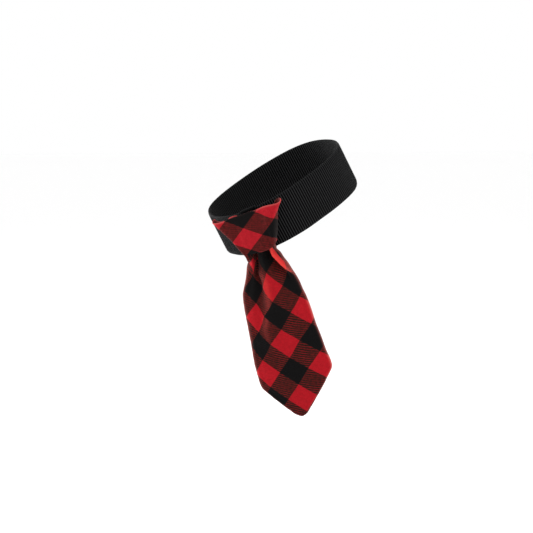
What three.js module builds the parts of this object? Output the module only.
// A dog's ready-tied necktie in its worn form: a ribbed elastic collar loop, a knot folded from flannel, a
// pleated blade that ends in a square point, and the keeper behind the knot that the collar runs through.
// Millimetres, +Z up. The wearer looks along -Y, and the origin is the middle of the collar loop.
import * as THREE from "three";
import { mergeVertices } from "three/addons/utils/BufferGeometryUtils.js";

// ---------------------------------------------------------------- driving dimensions
const GAP = 0.3; // clearance between pieces that touch
const WRAP = 1.6; // wall of the knot, two layers of flannel

const COLLAR = {
  width: 40, // along the neck
  wall: 1.5, // elastic below its ribs
  halfLength: 65.8, // outside, throat to nape
  halfBreadth: 55, // outside, side to side
  squareness: 2.3, // 2 is an ellipse, more is squarer
  lean: 31, // degrees that the neck leans forward
  ribs: 130, // cross ribs round the loop
  ribHeight: 0.6,
  selvedge: 1.6, // plain margin along each edge
};

const KEEPER = { width: 14, wall: 1.2, steps: 6 };

// Where the tie sits on the collar, in the collar's own frame.
const TIE = {
  fromThroat: 41.5, // round the collar's outside, towards the wearer's left
  roll: 4, // degrees that the knot turns in its own plane
  swing: 10.7, // degrees more that the blade hangs over
  standOff: 0.25, // room that the knot's straight back needs in front of the curved keeper
};

// The knot from its open mouth down to its foot. drop is the distance below the mouth, middle the depth
// from front to back halfway across, and fold the depth that the round side folds reach for.
const KNOT = { mouth: 20.8, height: 38, bow: 0.0035, squareness: 2.5, around: 48 };
const KNOT_SECTIONS = [
  { drop: 0, halfWidth: 33, middle: 6.4, fold: 17 },
  { drop: 3, halfWidth: 31.2, middle: 7.2, fold: 16 },
  { drop: 12, halfWidth: 26.2, middle: 9.6, fold: 15 },
  { drop: 22, halfWidth: 21, middle: 11.8, fold: 15 },
  { drop: 31, halfWidth: 16.8, middle: 13, fold: 14 },
  { drop: 38, halfWidth: 13.8, middle: 13.4, fold: 13.4 },
];

// The blade, from its end inside the knot to its point. below is the distance below the knot's foot, pleat
// the depth of its two valleys, crown the height of its middle, twist the degrees it turns to the chest.
const BLADE = {
  thickness: 2.6, // two layers of flannel and their turned edges
  length: 165, // below the knot
  corner: 126, // where the point starts
  pointSlope: 0.8, // half-width lost for each millimetre down the point
  pointRound: 2.4, // half-width left at the tip
  valleyAt: 0.58, // place of the valleys, as a share of the half-width
  across: 28, // faces across each side
};
const BLADE_SECTIONS = [
  { below: -14, halfWidth: 9.5, pleat: 1.8, crown: 0, twist: 0 },
  { below: -8, halfWidth: 10, pleat: 2.4, crown: 0, twist: 0 },
  { below: 2.5, halfWidth: 11, pleat: 2.8, crown: 0, twist: 0 },
  { below: 7, halfWidth: 16.8, pleat: 3.8, crown: 0, twist: 2 },
  { below: 18, halfWidth: 21, pleat: 4.2, crown: 0.4, twist: 5 },
  { below: 32, halfWidth: 25.6, pleat: 3.2, crown: 0.8, twist: 9 },
  { below: 46, halfWidth: 27.6, pleat: 1.8, crown: 1.2, twist: 12 },
  { below: 64, halfWidth: 29.2, pleat: 0.7, crown: 1.6, twist: 14 },
  { below: 94, halfWidth: 30.8, pleat: 0.2, crown: 1.6, twist: 15 },
  { below: 126, halfWidth: 33, pleat: 0, crown: 1.2, twist: 15 },
  { below: 165, halfWidth: 35, pleat: 0, crown: 0.6, twist: 15 },
];

// ---------------------------------------------------------------- materials
const flannel = new THREE.MeshStandardMaterial({ color: 0xa3161b, roughness: 0.95, metalness: 0 });
const elastic = new THREE.MeshStandardMaterial({ color: 0x101112, roughness: 0.85, metalness: 0 });

// ---------------------------------------------------------------- helpers
const rad = THREE.MathUtils.degToRad;

// A reader of a table's named columns at a place between its rows, on smooth curves through them.
function tableReader(rows, key) {
  return (name, at) => {
    const last = rows.length - 1;
    const next = rows.findIndex((row) => row[key] > at);
    const k = THREE.MathUtils.clamp(next < 0 ? last - 1 : next - 1, 0, last - 1);
    const slope = (i) => (rows[i + 1][name] - rows[i][name]) / (rows[i + 1][key] - rows[i][key]);
    const tangent = (j) => {
      if (j === 0) return slope(0);
      if (j === last) return slope(last - 1);
      const [before, after] = [slope(j - 1), slope(j)];
      return before * after <= 0 ? 0 : (2 * before * after) / (before + after);
    };
    const step = rows[k + 1][key] - rows[k][key];
    const t = THREE.MathUtils.clamp((at - rows[k][key]) / step, 0, 1);
    const rise = rows[k + 1][name] - rows[k][name];
    const ease = t * t * (3 - 2 * t);
    const bend = t * (1 - t) * ((1 - t) * tangent(k) - t * tangent(k + 1));
    return rows[k][name] + rise * ease + step * bend;
  };
}

// A closed skin over rings with the same number of points. A looped skin joins its last ring to its first.
// One that isn't looped is closed at both ends by a strip between the two halves of its end ring.
function skin(rings, looped) {
  const size = rings[0].length;
  const index = [];
  const quad = (a, b, c, d) => index.push(a, b, c, a, c, d);
  const spans = looped ? rings.length : rings.length - 1;
  for (let i = 0; i < spans; i += 1) {
    const [here, next] = [i * size, ((i + 1) % rings.length) * size];
    for (let j = 0; j < size; j += 1) {
      const k = (j + 1) % size;
      quad(here + j, here + k, next + k, next + j);
    }
  }
  if (!looped) {
    const end = (rings.length - 1) * size;
    for (let j = 0; j < size / 2 - 1; j += 1) {
      const [a, b, c, d] = [j, j + 1, size - 2 - j, size - 1 - j];
      quad(a, d, c, b);
      quad(end + a, end + b, end + c, end + d);
    }
  }
  const geometry = new THREE.BufferGeometry();
  const positions = rings.flat().flatMap((p) => [p.x, p.y, p.z]);
  geometry.setAttribute("position", new THREE.Float32BufferAttribute(positions, 3));
  geometry.setIndex(index);
  return mergeVertices(geometry, 1e-4);
}

function meshOf(name, geometry, material) {
  const mesh = new THREE.Mesh(geometry, material);
  mesh.name = name;
  return mesh;
}

// ---------------------------------------------------------------- collar
// The collar's outer line in its own plane: a slightly square oval that starts at the throat.
class NeckLoop extends THREE.Curve {
  getPoint(t) {
    const turn = 2 * Math.PI * t;
    const [side, front] = [Math.sin(turn), Math.cos(turn)];
    const power = COLLAR.squareness;
    const spread =
      Math.abs(side / COLLAR.halfBreadth) ** power + Math.abs(front / COLLAR.halfLength) ** power;
    const radius = spread ** (-1 / power);
    return new THREE.Vector3(radius * side, -radius * front, 0);
  }
}
const neckLoop = new NeckLoop();
neckLoop.arcLengthDivisions = 2000;
const loopLength = neckLoop.getLength();

// A place on the collar, by its distance round the loop from the throat, with the way along the loop.
function stationAt(distance) {
  const share = THREE.MathUtils.euclideanModulo(distance / loopLength, 1);
  return { point: neckLoop.getPointAt(share), along: neckLoop.getTangentAt(share) };
}

// A point at a distance outside a station and a height along the neck.
function offStation({ point, along }, outside, height) {
  return new THREE.Vector3(point.x + along.y * outside, point.y - along.x * outside, height);
}

function collarBand() {
  const half = COLLAR.width / 2;
  const stations = COLLAR.ribs * 2;
  const rings = Array.from({ length: stations }, (_, i) => {
    const station = stationAt((loopLength * i) / stations);
    const crest = i % 2 ? COLLAR.ribHeight : 0;
    const section = [
      [-COLLAR.wall, -half],
      [-COLLAR.wall, half],
      [0, half],
      [crest, half - COLLAR.selvedge],
      [crest, COLLAR.selvedge - half],
      [0, -half],
    ];
    return section.map(([outside, height]) => offStation(station, outside, height));
  });
  return skin(rings, true);
}

// ---------------------------------------------------------------- keeper
// A flat loop round the collar's section. Its skin runs along the outside of the loop and back inside it.
function keeperLoop() {
  const stations = Array.from({ length: KEEPER.steps + 1 }, (_, i) =>
    stationAt(TIE.fromThroat + KEEPER.width * (i / KEEPER.steps - 0.5)),
  );
  const frame = (room) => (station) => {
    const [inside, outside] = [-COLLAR.wall - room, COLLAR.ribHeight + room];
    const height = COLLAR.width / 2 + room;
    return [
      offStation(station, inside, -height),
      offStation(station, inside, height),
      offStation(station, outside, height),
      offStation(station, outside, -height),
    ];
  };
  const outer = stations.map(frame(GAP + KEEPER.wall));
  const inner = stations.map(frame(GAP)).reverse();
  return skin([...outer, ...inner], true);
}

// ---------------------------------------------------------------- knot
const knotAt = tableReader(KNOT_SECTIONS, "drop");

// One section of the knot: a flattened tube with round folds at both sides, bowed to the collar's curve.
function knotSection(drop, inset) {
  const [halfWidth, middle, fold] = ["halfWidth", "middle", "fold"].map((name) => knotAt(name, drop));
  const power = 2 / KNOT.squareness;
  return Array.from({ length: KNOT.around }, (_, i) => {
    const turn = (2 * Math.PI * i) / KNOT.around;
    const [across, outward] = [Math.cos(turn), Math.sin(turn)].map((v) => Math.sign(v) * Math.abs(v) ** power);
    const halfDepth = (middle + (fold - middle) * across ** 4) / 2;
    const x = (halfWidth - inset) * across;
    return new THREE.Vector3(x, KNOT.bow * x * x - middle / 2 + (halfDepth - inset) * outward, -drop);
  });
}

function knotWrap() {
  const drops = [0, 1.5, 3, 6, 9, 12, 17, 22, 26.5, 31, 34.5, KNOT.height];
  const outer = drops.map((drop) => knotSection(drop, 0));
  const inner = drops.map((drop) => knotSection(drop, WRAP));
  return skin([...outer.reverse(), ...inner], true);
}

// ---------------------------------------------------------------- blade
const bladeAt = tableReader(BLADE_SECTIONS, "below");

// How far a pleated section stands forward, from 1 to -1: a ridge down the middle, a valley at each side of
// it, and edges that roll forward again. share runs from -1 to 1 across the blade.
function pleatHeight(share) {
  const side = Math.abs(share);
  if (side < BLADE.valleyAt) return Math.cos((Math.PI * side) / BLADE.valleyAt);
  return -Math.cos((Math.PI * (side - BLADE.valleyAt)) / (2 * (1 - BLADE.valleyAt)));
}

function bladeSection(below) {
  const toPoint = (BLADE.length - below) * BLADE.pointSlope + BLADE.pointRound;
  const halfWidth = Math.min(bladeAt("halfWidth", below), toPoint);
  const [pleat, crown, twist] = ["pleat", "crown", "twist"].map((name) => bladeAt(name, below));
  const turned = new THREE.Vector3(0, 0, 1);
  const face = (side) =>
    Array.from({ length: BLADE.across + 1 }, (_, i) => {
      const share = (2 * i) / BLADE.across - 1;
      const halfThick = (BLADE.thickness / 2) * (1 - 0.5 * share ** 8);
      const forward = pleat * pleatHeight(share) + crown * (1 - share * share);
      const place = new THREE.Vector3(halfWidth * share, side * halfThick - forward, -below);
      return place.applyAxisAngle(turned, rad(twist));
    });
  return [...face(-1), ...face(1).reverse()];
}

function blade() {
  const start = BLADE_SECTIONS[0].below;
  const { corner, length } = BLADE;
  const upper = Array.from({ length: 32 }, (_, i) => start + ((corner - start) * i) / 32);
  const point = Array.from({ length: 8 }, (_, i) => corner + ((length - corner) * i) / 7);
  return skin([...upper, ...point].map(bladeSection).reverse(), false);
}

// ---------------------------------------------------------------- assembly
const necktie = new THREE.Group();
const collar = new THREE.Group();
collar.rotation.x = rad(COLLAR.lean);
necktie.add(collar);
collar.add(meshOf("collar_band", collarBand(), elastic));
collar.add(meshOf("keeper_loop", keeperLoop(), elastic));

const seat = stationAt(TIE.fromThroat);
const tie = new THREE.Group();
const back = COLLAR.ribHeight + GAP + KEEPER.wall + GAP + TIE.standOff;
tie.position.copy(offStation(seat, back, 0));
tie.rotation.set(0, rad(TIE.roll), Math.atan2(seat.along.y, seat.along.x), "ZYX");
collar.add(tie);

const knot = meshOf("knot_wrap", knotWrap(), flannel);
knot.position.z = KNOT.mouth;
tie.add(knot);

const hanging = meshOf("blade", blade(), flannel);
hanging.position.set(0, -knotAt("middle", KNOT.height) / 2, KNOT.mouth - KNOT.height);
hanging.rotation.y = rad(TIE.swing);
tie.add(hanging);

export default necktie;
